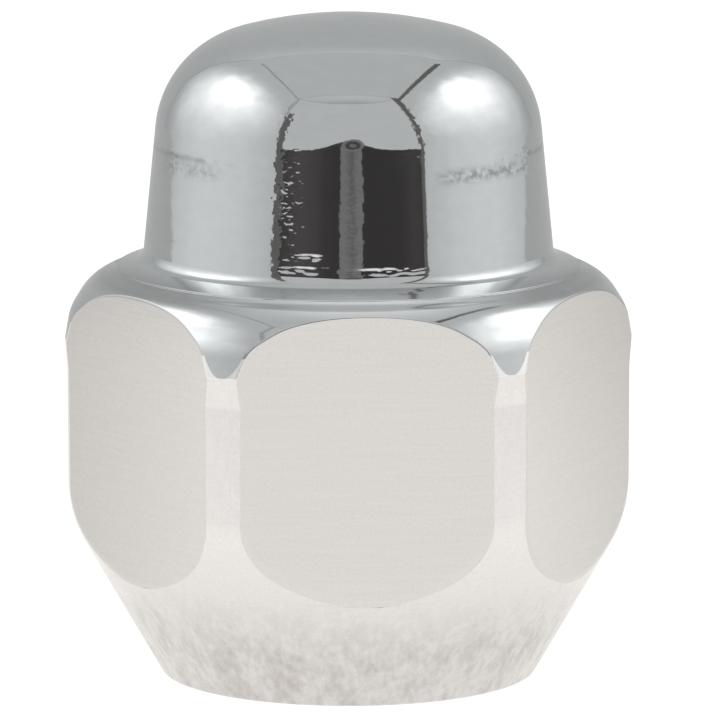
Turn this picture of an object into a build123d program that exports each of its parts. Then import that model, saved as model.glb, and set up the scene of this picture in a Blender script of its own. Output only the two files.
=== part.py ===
from build123d import *

import os
from math import asin, atan2, cos, degrees, radians, sin, sqrt, tan

# Closed-end lug nut with a conical seat, cold-forged, tapped and plated as one piece of steel.
# Millimetres. +Z runs up the thread axis towards the dome. The origin is the centre of the small
# end face that the nut stands on. One pair of wrench flats faces -Y and +Y.

# Wrench hexagon
across_flats = 21.0
corner_trim = 0.464  # the six corners are turned down by this from sharp
corner_lip_proud = 0.1  # the die leaves a proud lip at the top of each corner
corner_lip_drop = 3.0  # from the collar down to the lip
corner_waist_drop = 1.25  # from the lip down to the plain corner
corner_lip_radius = 0.12

# Dome
total_height = 27.5
crown_radius = 17.5
dome_corner_radius = 4.55
dome_inset = 1.95  # from the flats in to the foot of the dome, so that a socket passes over it
dome_draft = 5.6  # degrees that the side leans in
dome_base_fillet = 0.57

# Raised collar round the foot of the dome
collar_height = 17.1  # its outer edge, above the small end
collar_width = 1.05
collar_slope = 21.0  # degrees below level
collar_step = 0.07

# Shoulder between the collar and the corners
shoulder_slope = 21.5  # degrees below level
shoulder_break_inset = 0.91  # from the corners in to where the slope turns down
shoulder_break_radius = 2.2
shoulder_flank_inset = 0.1  # from the corners in to the foot of the steep flank
shoulder_flank_drop = 1.85  # from the collar down to the foot of the steep flank
shoulder_flank_radius = 2.0

# Conical seat
seat_included_angle = 60.0
small_end_width = 1.22  # flat ring round the mouth of the hole, with its outer rim still sharp
seat_rim_radius = 0.3
seat_corner_radius = 5.0  # blend from the cone up into the six corners

# Blind hole for an M12 x 1.5 stud
thread_diameter = 12.0
thread_pitch = 1.5  # the tap drill is the thread's diameter less one pitch
mouth_clearance = 0.5  # each side, past the thread's diameter
mouth_included_angle = 90.0
crown_wall = 2.85  # left between the tip of the hole and the top of the dome
drill_point_angle = 118.0

# What follows from those sizes
corner_radius = across_flats / 2 / cos(radians(30)) - corner_trim
dome_base_radius = across_flats / 2 - dome_inset
collar_radius = dome_base_radius + collar_width
bore_radius = (thread_diameter - thread_pitch) / 2
mouth_radius = thread_diameter / 2 + mouth_clearance
mouth_depth = (mouth_radius - bore_radius) / tan(radians(mouth_included_angle / 2))
hole_tip_height = total_height - crown_wall
full_bore_depth = hole_tip_height - bore_radius / tan(radians(drill_point_angle / 2))
seat_small_radius = mouth_radius + small_end_width


def crown_corner():
    """Where the crown's arc would meet the leaning side of the dome, before that corner is rounded."""
    lean = radians(dome_draft)
    centre_height = total_height - crown_radius
    # distance from the arc's centre to the side line, and the angle at which the line cuts the arc
    offset = dome_base_radius * cos(lean) + (collar_height - centre_height) * sin(lean)
    angle = lean + asin(sqrt(1 - (offset / crown_radius) ** 2))
    return crown_radius * cos(angle), centre_height + crown_radius * sin(angle)


def dome_foot():
    """Where the side of the dome would meet the collar's slope, before the fillet there."""
    side = tan(radians(dome_draft))
    slope = tan(radians(collar_slope))
    rise = slope * collar_width / (1 - slope * side)
    return dome_base_radius - side * rise, collar_height + rise


def half_section():
    """Half section of the round blank, with its hole, and with every corner rounded."""
    shoulder_top = collar_height - collar_step
    break_radius = corner_radius - shoulder_break_inset
    break_drop = (break_radius - collar_radius) * tan(radians(shoulder_slope))
    lip_height = collar_height - corner_lip_drop
    cone_height = (corner_radius - seat_small_radius) / tan(radians(seat_included_angle / 2))

    crown = crown_corner()
    foot = dome_foot()
    shoulder_break = (break_radius, shoulder_top - break_drop)
    flank = (corner_radius - shoulder_flank_inset, collar_height - shoulder_flank_drop)
    lip = (corner_radius + corner_lip_proud, lip_height)
    cone_corner = (corner_radius, cone_height)
    rim = (seat_small_radius, 0)

    crown_angle = degrees(atan2(crown[0], crown[1] - total_height + crown_radius))
    crown_arc = CenterArc((0, total_height - crown_radius), crown_radius, 90 - crown_angle, crown_angle)
    wall = Polyline(
        crown,
        foot,
        (collar_radius, collar_height),
        (collar_radius, shoulder_top),
        shoulder_break,
        flank,
        lip,
        (corner_radius, lip_height - corner_waist_drop),
        cone_corner,
        rim,
        (mouth_radius, 0),
        (bore_radius, mouth_depth),
        (bore_radius, full_bore_depth),
        (0, hole_tip_height),
        (0, total_height),
    )
    section = make_face(Curve() + [crown_arc, wall])

    rounded = {
        crown: dome_corner_radius,
        foot: dome_base_fillet,
        shoulder_break: shoulder_break_radius,
        flank: shoulder_flank_radius,
        lip: corner_lip_radius,
        cone_corner: seat_corner_radius,
        rim: seat_rim_radius,
    }
    for point, radius in rounded.items():
        section = fillet(section.vertices().sort_by_distance(point)[0], radius)
    return section


def lug_nut():
    """The round blank trimmed to its six wrench flats."""
    blank = revolve(Plane.XZ * half_section(), Axis.Z)
    flats = extrude(RegularPolygon(across_flats / 2, 6, major_radius=False), total_height)
    return blank & flats


if __name__ == "__main__":
    os.makedirs("parts", exist_ok=True)
    nut = lug_nut()
    export_step(nut, "parts/lug_nut.step")
    print("volume mm3", round(nut.volume, 1), "size", nut.bounding_box().size)
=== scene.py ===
import math

import bpy
import numpy as np
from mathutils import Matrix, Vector


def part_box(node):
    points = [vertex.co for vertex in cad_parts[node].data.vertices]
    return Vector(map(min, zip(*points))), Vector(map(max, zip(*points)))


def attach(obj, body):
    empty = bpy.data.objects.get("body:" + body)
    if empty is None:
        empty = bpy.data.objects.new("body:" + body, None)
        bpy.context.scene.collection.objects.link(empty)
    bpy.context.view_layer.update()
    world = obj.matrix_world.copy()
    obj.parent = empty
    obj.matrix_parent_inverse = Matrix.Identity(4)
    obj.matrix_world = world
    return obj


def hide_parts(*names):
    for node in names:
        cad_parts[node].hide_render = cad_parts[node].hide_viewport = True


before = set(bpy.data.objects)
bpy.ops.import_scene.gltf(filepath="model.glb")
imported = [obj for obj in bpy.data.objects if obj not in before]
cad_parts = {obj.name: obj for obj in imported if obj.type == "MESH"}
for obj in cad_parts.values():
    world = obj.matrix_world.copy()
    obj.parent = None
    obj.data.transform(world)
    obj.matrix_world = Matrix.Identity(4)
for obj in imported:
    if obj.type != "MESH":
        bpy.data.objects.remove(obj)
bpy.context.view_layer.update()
mm = 0.001
nutLow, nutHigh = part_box("lug_nut")
nutHeight = nutHigh.z - nutLow.z
print("frame loaded: lug nut", round(nutHeight / mm, 2), "mm tall")


# camera: a long lens, a little to the left of the flat that faces it

shot = {
    "azimuth": -4.25,  # degrees, towards -X
    "elevation": 9.62,
    "distance": 350.6 * mm,  # from the middle of the nut
    "lens": 422.5,
    "sensorWidth": 36.0,
    "clip": (0.01, 10.0),
    "aimRight": 0.475 * mm,  # the nut sits a little left of and above the middle of the picture
    "aimDown": 0.677 * mm,
}


def makeCamera():
    turn, lift = math.radians(shot["azimuth"]), math.radians(shot["elevation"])
    back = np.array([math.sin(turn) * math.cos(lift), -math.cos(turn) * math.cos(lift), math.sin(lift)])
    right = np.array([math.cos(turn), math.sin(turn), 0.0])
    up = np.cross(back, right)
    middle = np.array([0.0, 0.0, nutLow.z + nutHeight / 2])
    data = bpy.data.cameras.new("camera")
    data.lens = shot["lens"]
    data.sensor_width = shot["sensorWidth"]
    data.clip_start, data.clip_end = shot["clip"]
    camera = bpy.data.objects.new("camera", data)
    bpy.context.scene.collection.objects.link(camera)
    aim = middle + right * shot["aimRight"] - up * shot["aimDown"]
    camera.location = aim + back * shot["distance"]
    camera.rotation_mode = "QUATERNION"
    camera.rotation_quaternion = (-Vector(back)).to_track_quat("-Z", "Y")
    bpy.context.scene.camera = camera


makeCamera()
print("camera set")


# small helpers for node trees


class Wiring:
    # adds nodes to a tree, and takes a socket or a plain value for each input
    def __init__(self, tree):
        self.tree = tree

    def put(self, kind, inputs=None, **settings):
        node = self.tree.nodes.new(kind)
        for name, value in settings.items():
            setattr(node, name, value)
        for key, value in (inputs or {}).items():
            self.plug(node.inputs[key], value)
        return node

    def plug(self, socket, value):
        if isinstance(value, bpy.types.NodeSocket):
            self.tree.links.new(value, socket)
        else:
            socket.default_value = value

    def calc(self, operation, *values):
        node = self.put("ShaderNodeMath", operation=operation)
        for socket, value in zip(node.inputs, values):
            self.plug(socket, value)
        return node.outputs[0]

    def vector(self, operation, *values, out=0):
        node = self.put("ShaderNodeVectorMath", operation=operation)
        for socket, value in zip(node.inputs, values):
            self.plug(socket, value)
        return node.outputs[out]


def newGroup(name, kind, inputs, outputs):
    tree = bpy.data.node_groups.new(name, kind)
    for label, socketType, *default in inputs:
        socket = tree.interface.new_socket(label, in_out="INPUT", socket_type=socketType)
        if default:
            socket.default_value = default[0]
    for label, socketType in outputs:
        tree.interface.new_socket(label, in_out="OUTPUT", socket_type=socketType)
    return tree, Wiring(tree)


# outline of the nut, turned about Z: from the top of the dome out, down and round to the mouth of the hole

nutSizes = {  # millimetres and degrees; the height and the flats come from the frame
    "sides": 6,
    "acrossFlats": (nutHigh.y - nutLow.y) / mm,
    "height": nutHeight / mm,
    "cornerRadius": 11.66,
    "lipRadius": 11.76,
    "lipDrop": 3.0,
    "lipRound": 0.12,
    "waistDrop": 1.25,
    "waistRound": 2.0,
    "crownRadius": 17.5,
    "domeCorner": 4.55,
    "domeFootRadius": 8.55,
    "domeDraft": 5.6,
    "domeFootRound": 0.57,
    "collarHeight": 17.1,
    "collarRadius": 9.6,
    "collarSlope": 21.0,
    "collarStep": 0.07,
    "collarRounds": (0.5, 0.4),  # at its top and its foot, as shares of the step
    "shoulderSlope": 21.5,
    "shoulderBreak": 10.75,
    "shoulderBreakRound": 2.2,
    "flankRadius": 11.56,
    "flankDrop": 1.85,
    "flankRound": 2.0,
    "seatHalfAngle": 30.0,
    "seatSmallRadius": 7.72,
    "seatCornerRound": 5.0,
    "rimRound": 0.3,
    "mouthRadius": 6.5,
    "edgeRoundTop": 0.14,  # round on the edge between shoulder and flat
    "edgeRoundSide": 0.35,
    "edgeRoundFoot": 0.8,
    "plateEdge": 0.08,  # how far below the lip the bright plate ends
    "weld": 0.0000003,  # metres
    "columns": 16,  # across half a side of the hexagon
    "edgeSteps": 4,
    "traceStep": 0.5,  # degrees between the points that the outline is read from
    "bendStep": 3.0,  # degrees between rows on a bend
    "arcStep": 1.2,  # degrees between rows where the edge of the flat curves
    "rowLongest": 0.9,
    "rowShortest": 0.012,
    "clearOfFlat": (0.25, 0.6),  # no row lies closer than this above and below the flat
}


def unit(v):
    return v / np.linalg.norm(v)


def normalAt(degreesUp):
    a = math.radians(degreesUp)
    return np.array([math.cos(a), math.sin(a)])


def arcPoints(centre, radius, fromNormal, toNormal, step):
    # points and normal directions of an arc; a rising normal makes it hollow
    side = 1.0 if toNormal < fromNormal else -1.0
    count = max(2, math.ceil(abs(toNormal - fromNormal) / step) + 1)
    turns = np.linspace(fromNormal, toNormal, count)
    return [(*(centre + side * radius * normalAt(t)), t) for t in turns]


def roundedRun(points, rounds, step):
    # a run of straight pieces with each inner corner rounded, as (radius, height, normal direction)
    made = []
    for before, corner, after, size in zip(points, points[1:], points[2:], rounds):
        u, v = unit(corner - before), unit(after - corner)
        turn = math.degrees(math.atan2(u[0] * v[1] - u[1] * v[0], u @ v))
        reach = size * math.tan(math.radians(abs(turn) / 2))
        fromNormal = math.degrees(math.atan2(u[1], u[0])) + 90
        side = 1.0 if turn < 0 else -1.0
        centre = corner - u * reach - side * size * normalAt(fromNormal)
        made += arcPoints(centre, size, fromNormal, fromNormal + turn, step)
    return made


def nutOutline(s, step):
    lean, low = math.radians(s["domeDraft"]), s["collarHeight"]
    crownCentre = np.array([0.0, s["height"] - s["crownRadius"]])
    side, slope = math.tan(lean), math.tan(math.radians(s["collarSlope"]))
    rise = slope * (s["collarRadius"] - s["domeFootRadius"]) / (1 - slope * side)
    foot = np.array([s["domeFootRadius"] - side * rise, low + rise])
    # the dome's corner touches the crown from inside, and the leaning side
    inner = s["crownRadius"] - s["domeCorner"]
    gap = -s["domeCorner"] - (crownCentre - foot) @ normalAt(s["domeDraft"])
    bearing = s["domeDraft"] + math.degrees(math.acos(gap / inner))
    cornerCentre = crownCentre + inner * normalAt(bearing)
    path = arcPoints(crownCentre, s["crownRadius"], 90.0, bearing, step)
    path += arcPoints(cornerCentre, s["domeCorner"], bearing, s["domeDraft"], step)

    shoulderTop = low - s["collarStep"]
    breakDrop = (s["shoulderBreak"] - s["collarRadius"]) * math.tan(math.radians(s["shoulderSlope"]))
    lipHeight = low - s["lipDrop"]
    coneHeight = (s["cornerRadius"] - s["seatSmallRadius"]) / math.tan(math.radians(s["seatHalfAngle"]))
    corners = [
        (path[-1][0], path[-1][1]),
        foot,
        (s["collarRadius"], low),
        (s["collarRadius"], shoulderTop),
        (s["shoulderBreak"], shoulderTop - breakDrop),
        (s["flankRadius"], low - s["flankDrop"]),
        (s["lipRadius"], lipHeight),
        (s["cornerRadius"], lipHeight - s["waistDrop"]),
        (s["cornerRadius"], coneHeight),
        (s["seatSmallRadius"], 0.0),
        (s["mouthRadius"], 0.0),
    ]
    rounds = [
        s["domeFootRound"],
        *(s["collarStep"] * share for share in s["collarRounds"]),
        s["shoulderBreakRound"],
        s["flankRound"],
        s["lipRound"],
        s["waistRound"],
        s["seatCornerRound"],
        s["rimRound"],
    ]
    path += roundedRun([np.array(c, float) for c in corners], rounds, step)
    path.append((s["mouthRadius"], 0.0, -90.0))
    return np.array(path)


class Outline:
    # the outline by distance along it, with its normal
    def __init__(self, sizes):
        fine = nutOutline(sizes, sizes["traceStep"])
        keep = np.r_[True, np.hypot(*np.diff(fine[:, :2], axis=0).T) > 1e-7]
        fine = fine[keep]
        self.at = np.r_[0, np.cumsum(np.hypot(*np.diff(fine[:, :2], axis=0).T))]
        self.path = fine
        self.stations = self.nearest(nutOutline(sizes, sizes["bendStep"]))

    def nearest(self, points):
        found = [self.at[np.argmin(np.hypot(*(self.path[:, :2] - p[:2]).T))] for p in points]
        return np.array(sorted(set(np.round(found, 6))))

    def radius(self, d):
        return np.interp(d, self.at, self.path[:, 0])

    def height(self, d):
        return np.interp(d, self.at, self.path[:, 1])

    def normal(self, d):
        return np.interp(d, self.at, self.path[:, 2])

    def whereRadius(self, radius, low, high):
        # the distance at which the outline has this radius; it must rise or fall steadily from low to high
        fine = np.linspace(low, high, 4000)
        values = self.radius(fine)
        if values[0] > values[-1]:
            fine, values = fine[::-1], values[::-1]
        return np.interp(radius, values, fine)


# one sixth of the nut, with a flat in its middle, in millimetres


def spread(low, high, longest):
    return np.linspace(low, high, max(2, math.ceil((high - low) / longest) + 1))


def sectorRows(line, s, widest, top, coneEdge, foot, plainCorner):
    # where bends begin and end, and where the edge of the flat has turned by an even step
    half = s["acrossFlats"] / 2
    steps = np.radians(np.arange(0.0, plainCorner, s["arcStep"]))
    rows = list(line.stations)
    rows += [line.whereRadius(half / math.cos(a), top, widest) for a in steps]
    rows += [line.whereRadius(half / math.cos(a), coneEdge, foot) for a in steps]
    rows += [top, foot]
    rows = np.array(sorted(rows))
    clearTop, clearFoot = s["clearOfFlat"]
    rows = rows[(rows <= top - clearTop) | (rows >= top)]
    rows = rows[(rows <= foot) | (rows >= foot + clearFoot)]
    thinned = [rows[0]]
    for d in rows[1:]:
        if d - thinned[-1] > s["rowShortest"] or d in (top, foot):
            thinned.append(d)
    filled = [thinned[0]]
    for d in thinned[1:]:
        filled += list(spread(filled[-1], d, s["rowLongest"])[1:])
    return np.array(filled)


def makeSector(s):
    line = Outline(s)
    half = s["acrossFlats"] / 2
    widest = line.at[np.argmax(line.path[:, 0])]
    top = line.whereRadius(half, 0, widest)
    foot = line.whereRadius(half, widest, line.at[-1] - (s["seatSmallRadius"] - s["mouthRadius"]) - 0.5)
    plainCorner = math.degrees(math.acos(half / s["cornerRadius"]))
    # the strip at the corner gives way to the cone here
    coneEdge = line.whereRadius(half / math.cos(math.radians(plainCorner - 0.05)), widest + 3.0, foot)
    rows = sectorRows(line, s, widest, top, coneEdge, foot, plainCorner)

    def edgeRound(d):
        # radius of the round along the flat's edge
        stops = [top, widest, widest + 1.5, coneEdge - 0.5, coneEdge + 1.5, foot]
        part = np.interp(d, stops, [0, 0, 1, 1, 2, 2])
        return np.interp(part, [0, 1, 2], [s["edgeRoundTop"], s["edgeRoundSide"], s["edgeRoundFoot"]])

    sides, edgeSteps = s["sides"], s["edgeSteps"]
    share = np.linspace(0, 1, s["columns"] + 1)
    points, normals, rowIndex = [], [], []

    def add(p, n):
        if abs(p[0]) < s["rowShortest"]:
            p = p * [0, 1, 1]  # the two rounds meet in the middle of the flat's top
        points.append(p)
        normals.append(n)
        return len(points) - 1

    def onOutline(d, a):
        r, z, tilt = line.radius(d), line.height(d), math.radians(line.normal(d))
        out, along = math.cos(a), math.sin(a)
        return (
            np.array([r * along, -r * out, z]),
            np.array([math.cos(tilt) * along, -math.cos(tilt) * out, math.sin(tilt)]),
        )

    flatNormal = np.array([0.0, -1.0, 0.0])
    for d in rows:
        split = top - 1e-9 <= d <= foot + 1e-9
        if not split:
            right = [add(*onOutline(d, f * math.pi / sides)) for f in share]
            left = [right[0]] + [add(*onOutline(d, -f * math.pi / sides)) for f in share[1:]]
            rowIndex.append((left[::-1], None, right))
            continue
        a = math.acos(min(1.0, half / line.radius(d)))
        halves = []
        for hand in (-1, 1):
            p, n = onOutline(d, a * hand)
            cosine = n @ flatNormal
            size = edgeRound(d)
            reach = size * math.tan(math.acos(min(1, cosine)) / 2)
            awayFromFlat = unit(cosine * n - flatNormal)
            intoFlat = unit(cosine * flatNormal - n)
            tilt = math.radians(line.normal(d))
            around = np.array([math.cos(a * hand), math.sin(a * hand), 0])
            outward = np.array([math.sin(a * hand), -math.cos(a * hand), 0])
            along = outward * math.sin(tilt) + np.array([0, 0, -math.cos(tilt)])
            shiftAlong = reach * (awayFromFlat @ along)
            a0 = a * hand + reach * (awayFromFlat @ around) / line.radius(d)
            cornerRow = []
            for f in share:
                ease = (1 - f) ** 2
                angle = a0 + (hand * math.pi / sides - a0) * f
                cornerRow.append(add(*onOutline(d + shiftAlong * ease, angle)))
            fromPoint, fromNormal = points[cornerRow[0]], normals[cornerRow[0]]
            toPoint = p + reach * intoFlat
            startCentre, endCentre = fromPoint - size * fromNormal, toPoint - size * flatNormal
            angle = math.acos(min(1, fromNormal @ flatNormal))
            edgeRow = []
            for k in range(1, edgeSteps + 1):
                t, n = k / edgeSteps, flatNormal
                if angle >= 1e-6:
                    n = math.sin((1 - t) * angle) * fromNormal + math.sin(t * angle) * flatNormal
                    n = n / math.sin(angle)
                edgeRow.append(add(startCentre * (1 - t) + endCentre * t + size * n, n))
            halves.append((cornerRow, edgeRow))
        (leftCorner, leftEdge), (rightCorner, rightEdge) = halves
        rowIndex.append((leftCorner[::-1], leftEdge + rightEdge[::-1], rightCorner))

    faces, finish = [], []  # finish: 0 bright plate, 1 flats, 2 corner strips and seat, 3 hole

    def strip(upper, lower, kind):
        for j in range(len(upper) - 1):
            quad = (upper[j], lower[j], lower[j + 1], upper[j + 1])
            if len(set(quad)) == 4:
                faces.append(quad)
                finish.append(kind(j) if callable(kind) else kind)

    for i in range(len(rows) - 1):
        upper, lower = rowIndex[i], rowIndex[i + 1]
        middle = (rows[i] + rows[i + 1]) / 2
        bright = middle < widest + s["plateEdge"]
        strip(upper[0], lower[0], 0 if bright else 2)
        strip(upper[2], lower[2], 0 if bright else 2)
        if upper[1] is not None and lower[1] is not None:
            upperRow = [upper[0][-1]] + upper[1] + [upper[2][0]]
            lowerRow = [lower[0][-1]] + lower[1] + [lower[2][0]]
            last = len(upperRow) - 2
            edge = 0 if bright else 1
            strip(upperRow, lowerRow, lambda j: 1 if edgeSteps <= j <= last - edgeSteps else edge)
    mesh = bpy.data.meshes.new("nutSector")
    mesh.from_pydata([p * mm for p in points], [], faces)
    trueNormal = mesh.attributes.new("trueNormal", "FLOAT_VECTOR", "POINT")
    trueNormal.data.foreach_set("vector", np.array(normals).ravel())
    kinds = mesh.attributes.new("finish", "INT", "FACE")
    kinds.data.foreach_set("value", finish)
    print("one sixth of the nut:", len(points), "points,", len(faces), "faces,", len(rows), "rows")
    return mesh


# hole: a helical grid that follows the thread, closed by the drilled tip

boreSizes = {  # millimetres
    "tapDrill": 5.25,
    "threadRadius": 6.0,
    "pitch": 1.5,
    "mouthRadius": nutSizes["mouthRadius"],
    "threadEnd": 17.5,
    "runOut": 1.8,
    "depth": 21.496,
    "tip": 24.65,
    "tipRows": 5,
    "turnRows": 16,  # grid rows in one turn of the thread
    "around": 2 * nutSizes["sides"] * nutSizes["columns"],
    "crispFrom": 25.0,  # degrees
}


def makeThreadTree():
    lengths = ("Tap drill", "Thread radius", "Pitch", "Mouth radius", "Thread end", "Run out")
    counts = ("Rows per turn", "Rows", "Around")
    tree, w = newGroup(
        "threadedHole",
        "GeometryNodeTree",
        [("Geometry", "NodeSocketGeometry")]
        + [(name, "NodeSocketFloat") for name in lengths]
        + [(name, "NodeSocketInt") for name in counts]
        + [("Material", "NodeSocketMaterial")],
        [("Geometry", "NodeSocketGeometry")],
    )
    given = w.put("NodeGroupInput").outputs
    rows = given["Rows"]
    across = w.calc("ADD", given["Around"], 1.0)
    grid = w.put("GeometryNodeMeshGrid", {"Vertices X": across, "Vertices Y": rows})
    index = w.put("GeometryNodeInputIndex").outputs[0]
    column = w.calc("FLOOR", w.calc("DIVIDE", w.calc("ADD", index, 0.5), rows))
    row = w.calc("SUBTRACT", index, w.calc("MULTIPLY", column, rows))
    share = w.calc("DIVIDE", column, given["Around"])
    # height climbs one pitch in a turn; the mouth cuts the start off and the relief ends it
    form = w.calc("DIVIDE", row, given["Rows per turn"])
    climb = w.calc("ADD", form, w.calc("SUBTRACT", share, 2.0))
    free = w.calc("MULTIPLY", climb, given["Pitch"])
    height = w.calc("MINIMUM", w.calc("MAXIMUM", free, 0.0), given["Thread end"])
    # place in the thread's form, which follows the rows: crest, flank, root, flank, with 30 degree flanks
    phase = w.calc("SUBTRACT", form, w.calc("FLOOR", form))
    fromRoot = w.calc("MULTIPLY", w.calc("ABSOLUTE", w.calc("SUBTRACT", phase, 0.5)), given["Pitch"])
    pastRoot = w.calc("MAXIMUM", w.calc("SUBTRACT", fromRoot, w.calc("DIVIDE", given["Pitch"], 16.0)), 0.0)
    flank = w.calc("SUBTRACT", given["Thread radius"], w.calc("MULTIPLY", pastRoot, math.sqrt(3)))
    crest = w.calc("MAXIMUM", flank, given["Tap drill"])
    # the thread fades out towards its end
    left = w.calc("DIVIDE", w.calc("SUBTRACT", given["Thread end"], height), given["Run out"])
    left = w.calc("MINIMUM", w.calc("MAXIMUM", left, 0.0), 1.0)
    fade = w.calc("MULTIPLY", w.calc("SUBTRACT", crest, given["Tap drill"]), w.calc("SQRT", left))
    wall = w.calc("ADD", given["Tap drill"], fade)
    radius = w.calc("MAXIMUM", wall, w.calc("SUBTRACT", given["Mouth radius"], height))
    turn = w.calc("MULTIPLY", share, 2 * math.pi)
    at = w.put(
        "ShaderNodeCombineXYZ",
        {
            "X": w.calc("MULTIPLY", radius, w.calc("SINE", turn)),
            "Y": w.calc("MULTIPLY", w.calc("MULTIPLY", radius, w.calc("COSINE", turn)), -1.0),
            "Z": height,
        },
    )
    placed = w.put("GeometryNodeSetPosition", {"Geometry": grid.outputs["Mesh"], "Position": at.outputs[0]})
    joined = w.put("GeometryNodeJoinGeometry")
    w.tree.links.new(given["Geometry"], joined.inputs[0])
    turnedIn = w.put("GeometryNodeFlipFaces", {"Mesh": placed.outputs[0]})
    w.tree.links.new(turnedIn.outputs[0], joined.inputs[0])
    real = w.put("GeometryNodeRealizeInstances", {"Geometry": joined.outputs[0]})
    steel = w.put("GeometryNodeSetMaterial", {"Geometry": real.outputs[0], "Material": given["Material"]})
    w.put("NodeGroupOutput", {"Geometry": steel.outputs[0]})
    return tree


def makeNutTree(materials):
    tree, w = newGroup(
        "closedLugNut",
        "GeometryNodeTree",
        [
            ("Geometry", "NodeSocketGeometry"),
            ("Hole", "NodeSocketObject"),
            ("Sides", "NodeSocketInt", 6),
            ("Weld", "NodeSocketFloat", 0.0000003),
        ],
        [("Geometry", "NodeSocketGeometry")],
    )
    given = w.put("NodeGroupInput").outputs
    stops = w.put("GeometryNodeMeshLine", {"Count": given["Sides"], "Offset": (0, 0, 0)})
    index = w.put("GeometryNodeInputIndex").outputs[0]
    angle = w.calc("DIVIDE", w.calc("MULTIPLY", index, 2 * math.pi), given["Sides"])
    turned = w.put(
        "GeometryNodeStoreNamedAttribute",
        {"Geometry": stops.outputs[0], "Name": "turned", "Value": angle},
        data_type="FLOAT",
        domain="POINT",
    )
    rotation = w.put("ShaderNodeCombineXYZ", {"Z": angle})
    copies = w.put(
        "GeometryNodeInstanceOnPoints",
        {"Points": turned.outputs[0], "Instance": given["Geometry"], "Rotation": rotation.outputs[0]},
    )
    whole = w.put("GeometryNodeRealizeInstances", {"Geometry": copies.outputs[0]})
    # each copy's stored normals turn with it
    stored = w.put("GeometryNodeInputNamedAttribute", {"Name": "trueNormal"}, data_type="FLOAT_VECTOR")
    turnedBy = w.put("GeometryNodeInputNamedAttribute", {"Name": "turned"}, data_type="FLOAT")
    spun = w.put(
        "ShaderNodeVectorRotate",
        {"Vector": stored.outputs[0], "Angle": turnedBy.outputs[0]},
        rotation_type="Z_AXIS",
    )
    shell = w.put(
        "GeometryNodeStoreNamedAttribute",
        {"Geometry": whole.outputs[0], "Name": "trueNormal", "Value": spun.outputs[0]},
        data_type="FLOAT_VECTOR",
        domain="POINT",
    )
    hole = w.put("GeometryNodeObjectInfo", {"Object": given["Hole"]}, transform_space="ORIGINAL")
    both = w.put("GeometryNodeJoinGeometry")
    w.tree.links.new(shell.outputs[0], both.inputs[0])
    w.tree.links.new(hole.outputs["Geometry"], both.inputs[0])
    welded = w.put("GeometryNodeMergeByDistance", {"Geometry": both.outputs[0], "Distance": given["Weld"]})
    result = w.put("GeometryNodeRealizeInstances", {"Geometry": welded.outputs[0]}).outputs[0]
    kind = w.put("GeometryNodeInputNamedAttribute", {"Name": "finish"}, data_type="INT").outputs[0]
    for number, material in enumerate(materials):
        chosen = w.put("FunctionNodeCompare", data_type="INT", operation="EQUAL")
        w.plug(chosen.inputs[2], kind)
        w.plug(chosen.inputs[3], number)
        result = w.put(
            "GeometryNodeSetMaterial",
            {"Geometry": result, "Selection": chosen.outputs[0], "Material": material},
        ).outputs[0]
    w.put("NodeGroupOutput", {"Geometry": result})
    return tree


def runTree(obj, tree, values):
    # gives the modifier its inputs, reads the finished mesh, and takes the modifier off again
    modifier = obj.modifiers.new(tree.name, "NODES")
    modifier.node_group = tree
    for item in tree.interface.items_tree:
        if item.item_type == "SOCKET" and item.in_out == "INPUT" and item.name in values:
            modifier[item.identifier] = values[item.name]
    bpy.context.view_layer.update()
    evaluated = obj.evaluated_get(bpy.context.evaluated_depsgraph_get())
    mesh = bpy.data.meshes.new_from_object(evaluated)
    obj.modifiers.remove(modifier)
    return mesh


def makeHole(s, material):
    # the plain end of the hole: rings up from the thread's end to the drilled tip
    levels = [(s["tapDrill"], s["threadEnd"]), (s["tapDrill"], s["depth"])]
    slope = np.linspace(0, 1, s["tipRows"] + 1)[1:]
    levels += [(s["tapDrill"] * (1 - t), s["depth"] + (s["tip"] - s["depth"]) * t) for t in slope]
    points, faces = [], []
    around = s["around"]
    for radius, height in levels:
        for j in range(around):
            a = 2 * math.pi * j / around
            points.append((radius * math.sin(a) * mm, -radius * math.cos(a) * mm, height * mm))
    for i in range(len(levels) - 1):
        for j in range(around):
            k = (j + 1) % around
            faces.append((i * around + j, (i + 1) * around + j, (i + 1) * around + k, i * around + k))
    mesh = bpy.data.meshes.new("holeEnd")
    mesh.from_pydata(points, [], faces)
    hole = bpy.data.objects.new("threadedHole", mesh)
    bpy.context.scene.collection.objects.link(hole)
    turns = s["threadEnd"] / s["pitch"] + 3
    values = {
        "Tap drill": s["tapDrill"] * mm,
        "Thread radius": s["threadRadius"] * mm,
        "Pitch": s["pitch"] * mm,
        "Mouth radius": s["mouthRadius"] * mm,
        "Thread end": s["threadEnd"] * mm,
        "Run out": s["runOut"] * mm,
        "Rows per turn": s["turnRows"],
        "Rows": int(turns * s["turnRows"]) + 1,
        "Around": around,
        "Material": material,
    }
    hole.data = runTree(hole, makeThreadTree(), values)
    kinds = hole.data.attributes.new("finish", "INT", "FACE")
    kinds.data.foreach_set("value", [3] * len(hole.data.polygons))
    print("thread:", len(hole.data.polygons), "faces")
    return hole


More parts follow.
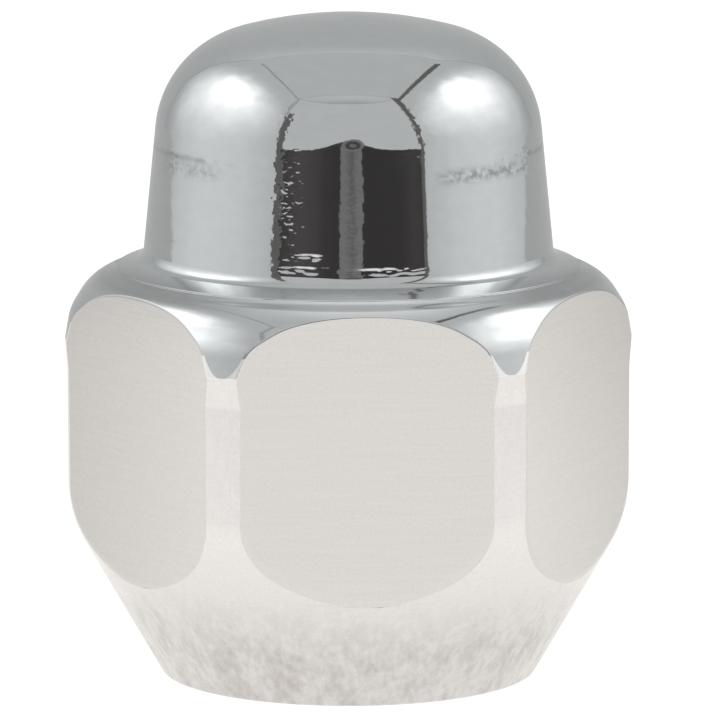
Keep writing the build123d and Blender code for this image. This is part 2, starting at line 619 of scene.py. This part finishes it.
def giveNormals(mesh, crispFrom):
    # outside: the exact normals; in the hole: smooth along the helix, crisp past this many degrees
    mesh.polygons.foreach_set("use_smooth", [True] * len(mesh.polygons))
    mesh.set_sharp_from_angle(angle=math.radians(crispFrom))
    corners = np.empty(len(mesh.loops) * 3)
    mesh.corner_normals.foreach_get("vector", corners)
    corners = corners.reshape(-1, 3)
    exact = np.empty(len(mesh.vertices) * 3)
    mesh.attributes["trueNormal"].data.foreach_get("vector", exact)
    exact = exact.reshape(-1, 3)
    corner = np.empty(len(mesh.loops), int)
    mesh.loops.foreach_get("vertex_index", corner)
    kinds = np.empty(len(mesh.polygons), int)
    mesh.attributes["finish"].data.foreach_get("value", kinds)
    totals = np.empty(len(mesh.polygons), int)
    mesh.polygons.foreach_get("loop_total", totals)
    outside = np.repeat(kinds < 3, totals)
    use = outside & (np.linalg.norm(exact[corner], axis=1) > 0.5)
    corners[use] = exact[corner[use]]
    mesh.attributes.remove(mesh.attributes["trueNormal"])
    if "turned" in mesh.attributes:
        mesh.attributes.remove(mesh.attributes["turned"])
    mesh.normals_split_custom_set(corners.tolist())


# finishes


def newMaterial(name):
    material = bpy.data.materials.new(name)
    material.use_nodes = True
    material.node_tree.nodes.clear()
    return material, Wiring(material.node_tree)


def makeRippleGroup():
    # height in metres of an uneven plate: noise of one size, drawn out along one axis if wanted
    tree, w = newGroup(
        "plateRipple",
        "ShaderNodeTree",
        [
            ("Position", "NodeSocketVector"),
            ("Size mm", "NodeSocketFloat", 1.0),
            ("Depth mm", "NodeSocketFloat", 0.001),
            ("Stretch", "NodeSocketVector", (1, 1, 1)),
            ("Detail", "NodeSocketFloat", 1.0),
        ],
        [("Height", "NodeSocketFloat"), ("Mask", "NodeSocketFloat")],
    )
    given = w.put("NodeGroupInput").outputs
    drawn = w.vector("DIVIDE", given["Position"], given["Stretch"])
    scale = w.calc("DIVIDE", 1.0, w.calc("MULTIPLY", given["Size mm"], mm))
    values = {"Vector": drawn, "Scale": scale, "Detail": given["Detail"]}
    noise = w.put("ShaderNodeTexNoise", values).outputs[0]
    height = w.calc("MULTIPLY", w.calc("SUBTRACT", noise, 0.5), w.calc("MULTIPLY", given["Depth mm"], mm))
    w.put("NodeGroupOutput", {"Height": height, "Mask": noise})
    return tree


def makeSpotGroup():
    # 1 at a centre, fading to nothing past its size along each axis; both in millimetres
    tree, w = newGroup(
        "softSpot",
        "ShaderNodeTree",
        [
            ("Position", "NodeSocketVector"),
            ("Centre mm", "NodeSocketVector", (0, 0, 0)),
            ("Size mm", "NodeSocketVector", (1, 1, 1)),
            ("Power", "NodeSocketFloat", 2.0),
        ],
        [("Mask", "NodeSocketFloat")],
    )
    given = w.put("NodeGroupInput").outputs
    scaled = w.vector("MULTIPLY", given["Position"], (1 / mm, 1 / mm, 1 / mm))
    away = w.vector("DIVIDE", w.vector("SUBTRACT", scaled, given["Centre mm"]), given["Size mm"])
    far = w.calc("POWER", w.vector("LENGTH", away, out=1), given["Power"])
    w.put("NodeGroupOutput", {"Mask": w.calc("EXPONENT", w.calc("MULTIPLY", far, -1.0))})
    return tree


rippleGroup, spotGroup = makeRippleGroup(), makeSpotGroup()
everywhere = 1e6  # a spot's size along an axis that it doesn't depend on


def place(w):
    return w.put("ShaderNodeTexCoord").outputs["Object"]


def inMillimetres(w, at):
    return w.put("ShaderNodeSeparateXYZ", {0: w.vector("MULTIPLY", at, (1 / mm, 1 / mm, 1 / mm))}).outputs


def addGroup(w, tree, inputs):
    node = w.put("ShaderNodeGroup")
    node.node_tree = tree
    for key, value in inputs.items():
        w.plug(node.inputs[key], value)
    return node.outputs


def ripple(w, at, size, depth, stretch=(1, 1, 1), detail=1.0):
    values = {"Position": at, "Size mm": size, "Depth mm": depth, "Stretch": stretch, "Detail": detail}
    return addGroup(w, rippleGroup, values)


def spot(w, at, centre, size, power=2.0):
    return addGroup(w, spotGroup, {"Position": at, "Centre mm": centre, "Size mm": size, "Power": power})[0]


def onDome(turn, height, radius=8.3):
    # a place on the dome's side, turned from -Y towards +X
    a = math.radians(turn)
    return (radius * math.sin(a), -radius * math.cos(a), height)


def clamped(w, value, low, high):
    # 0 below low, 1 above high
    return w.put("ShaderNodeMapRange", {"Value": value, "From Min": low, "From Max": high}).outputs[0]


def offCorner(w, x, y):
    # degrees round to the nearest corner of the hexagon
    turn = w.calc("DEGREES", w.calc("ARCTAN2", x, w.calc("MULTIPLY", y, -1.0)))
    return w.calc("SUBTRACT", 30.0, w.calc("PINGPONG", turn, 30.0))


def bumped(w, shader, height):
    bump = w.put("ShaderNodeBump", {"Strength": 1.0, "Distance": 1.0, "Height": height})
    w.plug(shader.inputs["Normal"], bump.outputs[0])


def finishMetal(name, colour, roughness):
    material, w = newMaterial(name)
    values = {"Base Color": (*colour, 1), "Metallic": 1.0, "Roughness": roughness}
    shader = w.put("ShaderNodeBsdfPrincipled", values)
    w.put("ShaderNodeOutputMaterial", {"Surface": shader.outputs[0]})
    return material, w, shader


brightFinish = {  # plate as it left the bath, over the forged skin, with painted light and shade on the ring round the dome; sizes and depths in mm
    "colour": (0.612, 0.62, 0.62),
    "roughness": 0.045,
    "waves": (1.3, 0.005),
    "grain": (0.16, 0.0004),
    "grainDetail": 2.0,
    "roughPatches": [  # turn, height, radius, reach, noise size, noise depth
        (-22.0, 20.6, 8.3, (0.9, 1.0, 2.4), 0.32, 0.013),
        (-20.0, 23.9, 7.9, (0.8, 0.9, 1.0), 0.3, 0.010),
        (23.0, 20.8, 8.3, (0.4, 0.6, 2.8), 0.3, 0.006),
        (-1.0, 20.5, 8.3, (0.8, 0.6, 2.6), 0.34, 0.007),
        (18.0, 23.9, 7.9, (0.9, 0.9, 1.1), 0.3, 0.005),
        (5.0, 22.6, 8.2, (2.6, 1.0, 0.25), 0.3, 0.003),
    ],
    "roughStretch": (1, 1, 0.8),
    "ringRipple": (22.0, 0.5, 0.45, 0.02, 3.4, 0.5),  # height, reach, noise size, depth, clear in front, fade
    "ringStretch": (1.4, 1.4, 0.8),
    "ringDetail": 1.5,
    "dents": [(-14.5, 18.12, 1.2), (-16.0, 18.62, 0.8), (7.5, 18.08, 1.5)],  # turn, height, half width
    "dentSizes": (2.0, 0.15, 3.0, 0.012),  # reach inwards, half height, falloff, depth
    "dentBreaks": (0.8, (1, 1, 0.5), 0.3, 0.6),  # noise size, stretch, none below, whole above
    "cornerFall": (10.1, 11.4, 0.13),  # the shoulder falls away more at the corners: from, to radius, by
    "mottle": (0.55, 0.10),  # size, tone
    "mottleStretch": (1.3, 1.3, 0.8),
    "mottleDetail": 3.0,
    "shoulder": (10.3, 0.5, 17.4, 0.3),  # the dull ring round the dome, also made lighter with painted light: radius it fades at, fade, top, fade
    # painted light: how much lighter the ring's colour is made
    "shoulderPaintedLight": 0.52,
    "shoulderRougher": 0.07,
    "shoulderPaintedShade": (1.5, 7.0, 1.5),  # painted shade instead at the sides, by x: from, to, by
    # darker patchy bands round the dome at these heights, kept within these x ranges
    "darkBands": [  # from x, to x, height, reach, noise size, darker by
        (-9.0, -5.0, 22.2, 0.12, 0.8, 0.30),
        (6.4, 9.0, 22.2, 0.12, 0.8, 0.30),
        (2.8, 7.2, 21.75, 0.26, 0.3, 0.45),
        (-8.0, -5.4, 21.75, 0.30, 0.3, 0.28),
    ],
    "darkBandFade": 0.8,
    "darkBandBreaks": (0.34, 0.58),
    "darkBandDetail": 2.0,
    "tips": (14.1, 0.05, 4.2, 0.08),  # height at the corner, rise by degrees squared, up to, fade
    "tipColour": (0.99, 0.975, 0.96),
    "tipRoughness": 0.28,
}


def eased(w, t):
    # a share from 0 to 1 that starts and stops softly
    return w.calc("MULTIPLY", w.calc("MULTIPLY", t, t), w.calc("SUBTRACT", 3.0, w.calc("MULTIPLY", t, 2.0)))


def brightHeight(w, at, aside, out, f):
    # the unevenness of the bright plate, in metres
    grain = ripple(w, at, *f["grain"], detail=f["grainDetail"])
    height = w.calc("ADD", ripple(w, at, *f["waves"])[0], grain[0])
    for turn, level, radius, reach, size, depth in f["roughPatches"]:
        mask = spot(w, at, onDome(turn, level, radius), reach)
        rough = ripple(w, at, size, depth, f["roughStretch"])[0]
        height = w.calc("ADD", height, w.calc("MULTIPLY", mask, rough))
    level, reach, size, depth, clear, fade = f["ringRipple"]
    band = spot(w, at, (0, 0, level), (everywhere, everywhere, reach))
    band = w.calc("MULTIPLY", band, clamped(w, aside, clear, clear + fade))
    wobble = ripple(w, at, size, depth, f["ringStretch"], f["ringDetail"])[0]
    height = w.calc("ADD", height, w.calc("MULTIPLY", band, wobble))
    size, stretch, none, whole = f["dentBreaks"]
    uneven = clamped(w, ripple(w, at, size, 1.0, stretch)[1], none, whole)
    inwards, halfHeight, falloff, depth = f["dentSizes"]
    for turn, level, halfWidth in f["dents"]:
        mask = spot(w, at, onDome(turn, level), (halfWidth, inwards, halfHeight), falloff)
        dent = w.calc("MULTIPLY", mask, uneven)
        height = w.calc("SUBTRACT", height, w.calc("MULTIPLY", dent, depth * mm))
    start, end, depth = f["cornerFall"]
    fall = eased(w, clamped(w, out, start, end))
    return w.calc("SUBTRACT", height, w.calc("MULTIPLY", fall, depth * mm))


def brightTone(w, at, x, aside, ring, f):
    # how much lighter or darker than its colour the bright plate is
    # painted light on the ring round the dome, turning to painted shade at the sides by x
    start, end, swing = f["shoulderPaintedShade"]
    paintedLightShare = w.calc("SUBTRACT", 1.0, w.calc("MULTIPLY", clamped(w, aside, start, end), swing))
    tone = w.calc("ADD", 1.0, w.calc("MULTIPLY", w.calc("MULTIPLY", ring, paintedLightShare), f["shoulderPaintedLight"]))
    size, strength = f["mottle"]
    mottle = ripple(w, at, size, 1.0, f["mottleStretch"], f["mottleDetail"])[1]
    tone = w.calc("ADD", tone, w.calc("MULTIPLY", w.calc("SUBTRACT", mottle, 0.5), strength))
    # darker patchy bands round the dome at given heights, kept within x ranges
    fade = f["darkBandFade"]
    for start, end, level, reach, size, darker in f["darkBands"]:
        within = w.calc("SUBTRACT", clamped(w, x, start, start + fade), clamped(w, x, end - fade, end))
        patchy = clamped(w, ripple(w, at, size, 1.0, detail=f["darkBandDetail"])[1], *f["darkBandBreaks"])
        band = spot(w, at, (0, 0, level), (everywhere, everywhere, reach))
        darkBand = w.calc("MULTIPLY", band, w.calc("MULTIPLY", within, patchy))
        tone = w.calc("SUBTRACT", tone, w.calc("MULTIPLY", darkBand, darker))
    return tone


def tipMask(w, x, y, z, tips):
    # the bright plate ends in a rounded point at each corner; 1 below it
    level, rise, stop, fade = tips
    off = w.calc("MINIMUM", offCorner(w, x, y), stop)
    edge = w.calc("ADD", w.calc("MULTIPLY", w.calc("MULTIPLY", off, off), rise), level)
    return clamped(w, w.calc("SUBTRACT", edge, z), 0.0, fade)


def makeBrightChrome(f):
    material, w, shader = finishMetal("brightChrome", f["colour"], f["roughness"])
    at = place(w)
    x, y, z = inMillimetres(w, at)
    aside = w.calc("ABSOLUTE", x)
    out = w.calc("SQRT", w.calc("ADD", w.calc("MULTIPLY", x, x), w.calc("MULTIPLY", y, y)))
    bumped(w, shader, brightHeight(w, at, aside, out, f))
    edge, edgeFade, top, topFade = f["shoulder"]
    ring = w.calc("SUBTRACT", 1.0, clamped(w, out, edge, edge + edgeFade))
    ring = w.calc("MULTIPLY", ring, w.calc("SUBTRACT", 1.0, clamped(w, z, top - topFade, top)))
    satin = tipMask(w, x, y, z, f["tips"])
    colour = w.vector("SCALE", f["colour"])
    w.plug(colour.node.inputs["Scale"], brightTone(w, at, x, aside, ring, f))
    mixed = w.put("ShaderNodeMix", {0: satin, 6: colour, 7: (*f["tipColour"], 1)}, data_type="RGBA")
    w.plug(shader.inputs["Base Color"], mixed.outputs[2])
    rough = w.calc("ADD", f["roughness"], w.calc("MULTIPLY", ring, f["shoulderRougher"]))
    rougher = w.calc("MULTIPLY", satin, f["tipRoughness"] - f["roughness"])
    w.plug(shader.inputs["Roughness"], w.calc("ADD", rough, rougher))
    return material


flatFinish = {  # sizes and depths in mm
    "colour": (0.64, 0.627, 0.617),
    "roughness": 0.16,
    "tone": 0.90,
    "grain": (0.1, 0.0006),
    "grainDetail": 3.0,
    "grainTone": 0.14,
    "marks": (0.5, 0.0009),
    "marksStretch": (6, 6, 0.25),
    "marksDetail": 2.0,
    "marksTone": 0.06,
    "paintedShadeAside": (6.5, 11.6, 0.17),  # painted shade towards the outline at the sides, by x: from, to, darker by
}


def makeFlatChrome(f):
    material, w, shader = finishMetal("flatChrome", f["colour"], f["roughness"])
    at = place(w)
    grain = ripple(w, at, *f["grain"], detail=f["grainDetail"])
    marks = ripple(w, at, *f["marks"], f["marksStretch"], f["marksDetail"])
    tone = w.calc("MULTIPLY", grain[1], f["grainTone"])
    tone = w.calc("ADD", tone, w.calc("MULTIPLY", marks[1], f["marksTone"]))
    # painted shade: the flats are darker towards the sides, by x
    start, end, darker = f["paintedShadeAside"]
    aside = w.calc("DIVIDE", w.calc("ABSOLUTE", w.put("ShaderNodeSeparateXYZ", {0: at}).outputs[0]), mm)
    shade = w.calc("MULTIPLY", clamped(w, aside, start, end), darker)
    colour = w.vector("SCALE", f["colour"])
    w.plug(colour.node.inputs["Scale"], w.calc("SUBTRACT", w.calc("ADD", tone, f["tone"]), shade))
    w.plug(shader.inputs["Base Color"], colour)
    bumped(w, shader, w.calc("ADD", grain[0], marks[0]))
    return material


seatFinish = {  # sizes and depths in mm
    "light": (0.665, 0.655, 0.648),
    "dark": (0.47, 0.448, 0.43),
    "tone": 0.88,
    "roughness": 0.28,
    "roughSwing": 0.16,  # across the streaks
    "grain": (0.16, 0.0012),
    "grainDetail": 3.0,
    "grainTone": 0.14,
    "grainBreaks": (0.3, 0.6),
    "blotches": (1.2, 0.42),  # size, how dark
    "blotchStretch": (0.8, 0.8, 2.0),
    "blotchBreaks": (0.42, 0.62),
    "streaks": (0.34, 0.006),
    "streakStretch": (0.8, 0.8, 2.2),
    "streakDark": (0.40, 1.5),  # noise level they start at, how dark
    "streakDetail": 5.0,
    "streakStart": (2.0, 5.0),  # height at which the streaks fade out
    "paintedShadeLow": (2.2, 7.5, 0.19),  # painted shade near the floor, lifted from this height up: from height, to height, lighter by
    "edgeLine": (3.95, 0.25, 6.8, 13.0, 0.5),  # degrees off the corner, half width, from, to, how dark
    "edgeLineFade": (1.0, 2.0),
}


def makeSeatChrome(f):
    material, w, shader = finishMetal("seatChrome", f["light"], f["roughness"])
    at = place(w)
    x, y, level = inMillimetres(w, at)
    low = w.calc("SUBTRACT", 1.0, clamped(w, level, *f["streakStart"]))
    grain = ripple(w, at, *f["grain"], detail=f["grainDetail"])
    streaks = ripple(w, at, *f["streaks"], f["streakStretch"], f["streakDetail"])
    size, howDark = f["blotches"]
    blotches = ripple(w, at, size, 1.0, f["blotchStretch"], f["streakDetail"])[1]
    blotches = w.calc("MULTIPLY", clamped(w, blotches, *f["blotchBreaks"]), howDark)
    start, howDark = f["streakDark"]
    dark = w.calc("MULTIPLY", w.calc("SUBTRACT", streaks[1], start), howDark)
    dark = w.calc("MULTIPLY", w.calc("ADD", dark, blotches), low)
    # a fine broken line along each side of the corner strips
    angle, halfWidth, start, end, howDark = f["edgeLine"]
    footFade, topFade = f["edgeLineFade"]
    near = w.calc("ABSOLUTE", w.calc("SUBTRACT", offCorner(w, x, y), angle))
    line = w.calc("MULTIPLY", w.calc("SUBTRACT", 1.0, clamped(w, near, 0.0, halfWidth)), howDark)
    above, below = clamped(w, level, start, start + footFade), clamped(w, level, end - topFade, end)
    line = w.calc("MULTIPLY", line, w.calc("SUBTRACT", above, below))
    dark = w.calc("ADD", dark, w.calc("MULTIPLY", line, clamped(w, grain[1], *f["grainBreaks"])))
    dark = w.calc("MINIMUM", w.calc("MAXIMUM", dark, 0.0), 1.0)
    mixed = w.put("ShaderNodeMix", {0: dark, 6: (*f["light"], 1), 7: (*f["dark"], 1)}, data_type="RGBA")
    # painted shade: the seat is darker towards the floor
    start, end, lighter = f["paintedShadeLow"]
    tone = w.calc("MULTIPLY", grain[1], f["grainTone"])
    tone = w.calc("ADD", tone, w.calc("MULTIPLY", clamped(w, level, start, end), lighter))
    colour = w.vector("SCALE", mixed.outputs[2])
    w.plug(colour.node.inputs["Scale"], w.calc("ADD", tone, f["tone"]))
    w.plug(shader.inputs["Base Color"], colour)
    swing = w.calc("MULTIPLY", streaks[1], f["roughSwing"])
    w.plug(shader.inputs["Roughness"], w.calc("ADD", f["roughness"] - f["roughSwing"] / 2, swing))
    bumped(w, shader, w.calc("ADD", grain[0], w.calc("MULTIPLY", streaks[0], low)))
    return material


holeFinish = {  # sizes and depths in mm
    "colour": (0.52, 0.51, 0.49),
    "roughness": 0.30,
    "roughSwing": 0.2,
    "grain": (0.15, 0.0012),
    "grainDetail": 3.0,
}


def makeThreadSteel(f):
    material, w, shader = finishMetal("threadSteel", f["colour"], f["roughness"])
    grain = ripple(w, place(w), *f["grain"], detail=f["grainDetail"])
    swing = w.calc("MULTIPLY", grain[1], f["roughSwing"])
    w.plug(shader.inputs["Roughness"], w.calc("ADD", f["roughness"] - f["roughSwing"] / 2, swing))
    bumped(w, shader, grain[0])
    return material


# studio: a white cube tent round the nut, open low down in front, with a lit white plate under the nut


def panel(name, corners, light):
    # a flat card; light builds its glow from the wiring and its own position
    mesh = bpy.data.meshes.new(name)
    mesh.from_pydata(corners, [], [tuple(range(len(corners)))])
    card = bpy.data.objects.new(name, mesh)
    bpy.context.scene.collection.objects.link(card)
    material, w = newMaterial(name)
    colour, strength = light(w)
    glow = w.put("ShaderNodeEmission", {"Color": colour, "Strength": strength})
    w.put("ShaderNodeOutputMaterial", {"Surface": glow.outputs[0]})
    mesh.materials.append(material)
    card.visible_camera = False
    card.rotation_euler = (0, 0, math.radians(shot["azimuth"]))
    return card


def upright(name, x0, x1, y, z0, z1, light):
    # a card that faces the nut from in front or behind
    return panel(name, [(x0, y, z0), (x1, y, z0), (x1, y, z1), (x0, y, z1)], light)


def lying(name, x0, x1, y0, y1, z, light):
    # a card that faces the nut from above or below
    return panel(name, [(x0, y0, z), (x1, y0, z), (x1, y1, z), (x0, y1, z)], light)


def oval(name, x, y, z, wide, tall, light):
    turns = np.linspace(0, 2 * math.pi, 25)[:-1]
    return panel(name, [(x + wide * math.cos(a), y, z + tall * math.sin(a)) for a in turns], light)


def plain(colour, strength):
    return lambda w: ((*colour, 1), strength)


def rising(colour, low, high, height):
    # brighter towards the top
    def light(w):
        share = w.calc("DIVIDE", w.put("ShaderNodeSeparateXYZ", {0: place(w)}).outputs[2], height)
        return (*colour, 1), w.calc("ADD", w.calc("MULTIPLY", w.calc("POWER", share, 2.0), high - low), low)
    return light


def withGlows(colour, strength, glows, ragged=0.0):
    # soft lamp glows through the cloth; each has a centre, a size, a falloff and a gain
    def light(w):
        total, at = strength, place(w)
        if ragged:
            noise = w.put("ShaderNodeTexNoise", {"Vector": at, "Scale": 14.0, "Detail": 3.0}).outputs[1]
            shift = w.vector("SCALE", w.vector("SUBTRACT", noise, (0.5, 0.5, 0.5)))
            shift.node.inputs["Scale"].default_value = ragged
            at = w.vector("ADD", at, shift)
        for centre, size, falloff, gain in glows:
            glow = spot(w, at, [c / mm for c in centre], [c / mm for c in size], falloff)
            total = w.calc("ADD", w.calc("MULTIPLY", glow, gain), total)
        return (*colour, 1), total
    return light


def patchesAt(y, patches):
    # glows on a card that faces the nut, from x, height, half width, half height and gain
    return [((x, y, z), (wide, 1, tall), 2.0, gain) for x, z, wide, tall, gain in patches]


tent = {  # metres, and how strongly each part glows
    "halfWidth": 0.3,
    "back": 0.37,
    "height": 0.615,
    "wall": (0.69, 0.707, 0.708),
    "sideGlow": 0.93,
    "lamps": [  # on both sides: along, up, half length, half height in half widths; falloff, gain
        (0.15, 0.98, 0.38, 0.32, 2.6, 1.35),
        (0.14, 0.78, 0.86, 0.54, 2.6, 1.12),
        (-0.2, 0.0, 0.8, 0.25, 2.0, 0.24),
        (-1.0, 0.3, 0.4, 1.0, 2.0, -0.03),
    ],
    "backShade": (0.3, 0.5, 1.0, 2.0, -0.28),  # the same for the corners at the back, from up on
    "ragged": 0.07,
    "backGlow": (0.74, 1.02),  # at the floor, at the roof
    "roofGlow": 0.92,
    "frontGlow": 0.97,
    "openingHeight": 0.046,
    "openingHump": (0.05, 0.24),  # extra height in the middle; its width in half widths
    "openingLeft": (0.80, 0.002, 0.98),  # closed from here on in half widths; overlap; glow
    "flapDip": 0.42,  # the roof sags in front, down to this height
    "flapEdge": (0.009, 0.62),  # the seam along the sag: depth, glow
    "flapGlow": 0.95,
    "flapFoot": 0.3,
    "flapPatches": [(0, 0.57, 0.16, 0.06, 0.06), (0.04, 0.415, 0.26, 0.06, -0.24)],
    "layer": 0.0005,  # between cards that lie on each other
}


def makeTent():
    h, back, top, wall, layer = (tent[k] for k in ("halfWidth", "back", "height", "wall", "layer"))
    shadeUp, shadeLength, shadeHeight, falloff, gain = tent["backShade"]
    for name, x in (("tentLeft", -h), ("tentRight", h)):
        glows = [((x, a * h, u * h), (1, l * h, t * h), p, g) for a, u, l, t, p, g in tent["lamps"]]
        glows.append(((x, back, shadeUp * h), (1, shadeLength * h, shadeHeight * h), falloff, gain))
        side = [(x, -h, 0), (x, back, 0), (x, back, top), (x, -h, top)]
        panel(name, side, withGlows(wall, tent["sideGlow"], glows, tent["ragged"]))
    upright("tentBack", -h, h, back, 0, top, rising(wall, *tent["backGlow"], top))
    lying("tentRoof", -h, h, -h, back, top, plain(wall, tent["roofGlow"]))
    # the front hangs from the sagging edge of the roof down to the opening
    gap, dip, foot = tent["openingHeight"], tent["flapDip"], tent["flapFoot"]
    hump, humpWidth = tent["openingHump"]
    sag = [(x, top - (top - dip) * (1 - x * x)) for x in np.linspace(-1, 1, 21)[::-1]]
    bulge = [(x, gap + hump * math.exp(-((x / humpWidth) ** 2))) for x in np.linspace(-1, 1, 61)]
    panel("tentFront", [(x * h, -h, z) for x, z in bulge + sag], plain(wall, tent["frontGlow"]))
    deep, glow = tent["flapEdge"]
    edge = [(x * h, -h - layer, foot) for x in (-1, 1)] + [(x * h, -h - layer, z + deep) for x, z in sag]
    panel("seamSag", edge, plain(wall, glow))
    flap = withGlows(wall, tent["flapGlow"], patchesAt(-h, tent["flapPatches"]))
    upright("tentFrontRoof", -h, h, -h - 2 * layer, foot, top, flap)
    closed, overlap, glow = tent["openingLeft"]
    upright("tentFrontLeft", -h, -closed * h, -h, 0, gap + overlap, plain(wall, glow))


room = {  # the dark room in front of the tent, with the camera and its stand, as cards that glow with painted light; metres
    "distance": 1.3,  # in half widths of the tent
    "height": 0.2,
    "colour": (1, 0.94, 0.93),
    "glow": 0.052,
    "patches": [(-0.2, 0.05, 0.1, 0.12, 0.04), (0.3, 0.02, 0.05, 0.1, 0.02)],
    "ragged": 0.08,
    "column": (-0.026, 0.046, 0.07),  # from x, to x, height
    "columnBehind": 0.02,  # the tent's front
    "columnColour": (1, 0.97, 0.97),
    "columnGlow": 0.245,
    "columnPatches": [(0.012, 0.045, 0.022, 0.012, -0.10), (0.03, 0.02, 0.008, 0.02, 0.08)],
    "columnRagged": 0.06,
    "lensPlace": (0.014, 0.073),  # x, height
    "lens": [  # name, before the tent's front, half width, half height, colour, glow
        ("lensRim", 0.004, 0.036, 0.034, (1, 0.97, 0.97), 0.23),
        ("lensGlass", 0.005, 0.024, 0.023, (1, 0.95, 0.95), 0.08),
        ("lensShine", 0.006, 0.011, 0.011, (1, 0.97, 0.97), 0.2),
    ],
}


def makeRoom():
    front = -tent["halfWidth"]
    far = room["distance"] * tent["halfWidth"]
    dark = withGlows(room["colour"], room["glow"], patchesAt(-far, room["patches"]), room["ragged"])
    upright("darkRoom", -far, far, -far, 0, room["height"], dark)
    # the stand and the lens glow as painted light, with lighter and darker patches on the stand
    x0, x1, tall = room["column"]
    stand = front - room["columnBehind"]
    standPatches = patchesAt(stand, room["columnPatches"])
    light = withGlows(room["columnColour"], room["columnGlow"], standPatches, room["columnRagged"])
    upright("standColumn", x0, x1, stand, 0, tall, light)
    x, z = room["lensPlace"]
    for name, before, wide, tall, colour, glow in room["lens"]:
        oval(name, x, front + before, z, wide, tall, plain(colour, glow))


seams = {  # dark piping along the tent's edges; metres
    "inset": 0.002,
    "colour": (1, 0.98, 0.96),
    "dark": 0.16,
    "faint": 0.42,
    "frontRight": (0.02, 0.06),  # width at the floor, at the roof
    "frontLeft": (0.93, 0.79, 0.55),  # from, to in half widths; height as a share of the tent's
    "frontLeftHigh": (0.022, 0.66),  # width, glow
    "roofRight": 0.055,
    "roofLeft": (0.02, 0.58),
    "roofBack": 0.006,
    "roofFront": (0.001, 0.009, 0.72),  # in front of the others, width, glow
    "roofReach": 0.8,  # how far back the roof's side seams show, as a share
    "back": 0.006,
}


def makeSeams():
    h, top, wall = tent["halfWidth"], tent["height"], tent["wall"]
    dark, faint = plain(seams["colour"], seams["dark"]), plain(seams["colour"], seams["faint"])
    e, b = h - seams["inset"], tent["back"] - seams["inset"]
    wideLow, wideHigh = seams["frontRight"]
    panel("seamFrontRight", [(e - wideLow, -e, 0), (e, -e, 0), (e, -e, top), (e - wideHigh, -e, top)], dark)
    start, end, share = seams["frontLeft"]
    upright("seamFrontLeft", -start * h, -end * h, -e, 0, share * top, dark)
    wide, glow = seams["frontLeftHigh"]
    upright("seamFrontLeftHigh", -e, -e + wide, -e, share * top, top, plain(wall, glow))
    reach = seams["roofReach"] * b
    deep, glow = seams["roofLeft"]
    for name, x, low, light in (
        ("seamRoofRight", e, top - seams["roofRight"], dark),
        ("seamRoofLeft", -e, top - deep, plain(wall, glow)),
    ):
        panel(name, [(x, -e, top), (x, -e, low), (x, reach, low), (x, reach, top)], light)
    upright("seamRoofBack", -e, e, b, top - seams["roofBack"], top, faint)
    before, deep, glow = seams["roofFront"]
    upright("seamRoofFront", -e, e, -e + before, top - deep, top, plain(wall, glow))
    for side in (-1, 1):
        upright("seamBack", side * e, side * (e - seams["back"]), b, 0, top, faint)


floor = {  # cloth, a white plate on it, and the pale table that the camera sees; metres
    "cloth": (0.52, 0.53, 0.53),
    "plate": (1.13, 1.10, 1.07),
    "plateReach": 0.115,
    "plateFront": 0.21,
    "plateShade": (0.5, 1.0, 0.42, -0.62),  # at its back corners: aside, back, size in reaches; gain
    "layer": 0.00001,
    "tableReach": 1.5,
    "sky": 1.1,
}


def makeFloor():
    h, r, layer = tent["halfWidth"], floor["plateReach"], floor["layer"]
    lying("clothFloor", -h, h, -h, tent["back"], layer, plain(floor["cloth"], 1.0))
    aside, away, size, gain = floor["plateShade"]
    dim = [((side * aside * r, away * r, 0), (size * r, size * r, 1), 2.0, gain) for side in (-1, 1)]
    lying("whitePlate", -r, r, -floor["plateFront"], r, 2 * layer, withGlows(floor["plate"], 1.0, dim))
    # the table is clear from below, so that the underside can be looked at
    mesh = bpy.data.meshes.new("table")
    t = floor["tableReach"]
    corners = [(-t, -t, 0), (t, -t, 0), (t, t, 0), (-t, t, 0)]
    mesh.from_pydata(corners, [], [(0, 1, 2, 3)])
    table = bpy.data.objects.new("table", mesh)
    bpy.context.scene.collection.objects.link(table)
    table.location.z = -2 * layer
    material, w = newMaterial("whiteTable")
    glow = w.put("ShaderNodeEmission", {"Color": (*floor["plate"], 1), "Strength": 1.0})
    clear = w.put("ShaderNodeBsdfTransparent")
    under = w.put("ShaderNodeNewGeometry").outputs["Backfacing"]
    both = w.put("ShaderNodeMixShader", {0: under, 1: glow.outputs[0], 2: clear.outputs[0]})
    w.put("ShaderNodeOutputMaterial", {"Surface": both.outputs[0]})
    mesh.materials.append(material)
    world = bpy.data.worlds.new("studio")
    bpy.context.scene.world = world
    world.use_nodes = True
    background = world.node_tree.nodes["Background"]
    background.inputs[0].default_value = (1, 1, 1, 1)
    background.inputs[1].default_value = floor["sky"]
    bpy.context.scene.view_settings.view_transform = "Standard"


# putting it together

finishes = [
    makeBrightChrome(brightFinish),
    makeFlatChrome(flatFinish),
    makeSeatChrome(seatFinish),
    makeThreadSteel(holeFinish),
]
hole = makeHole(boreSizes, finishes[3])
nut = bpy.data.objects.new("lugNut", makeSector(nutSizes))
bpy.context.scene.collection.objects.link(nut)
values = {"Hole": hole, "Sides": nutSizes["sides"], "Weld": nutSizes["weld"]}
nut.data = runTree(nut, makeNutTree(finishes), values)
bpy.data.objects.remove(hole)
giveNormals(nut.data, boreSizes["crispFrom"])
triangles = sum(len(face.vertices) - 2 for face in nut.data.polygons)
print("nut:", len(nut.data.vertices), "points,", triangles, "triangles")
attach(nut, "root")
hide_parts("lug_nut")
makeTent()
makeRoom()
makeSeams()
makeFloor()
print("studio set: tent, room, seams and floor")
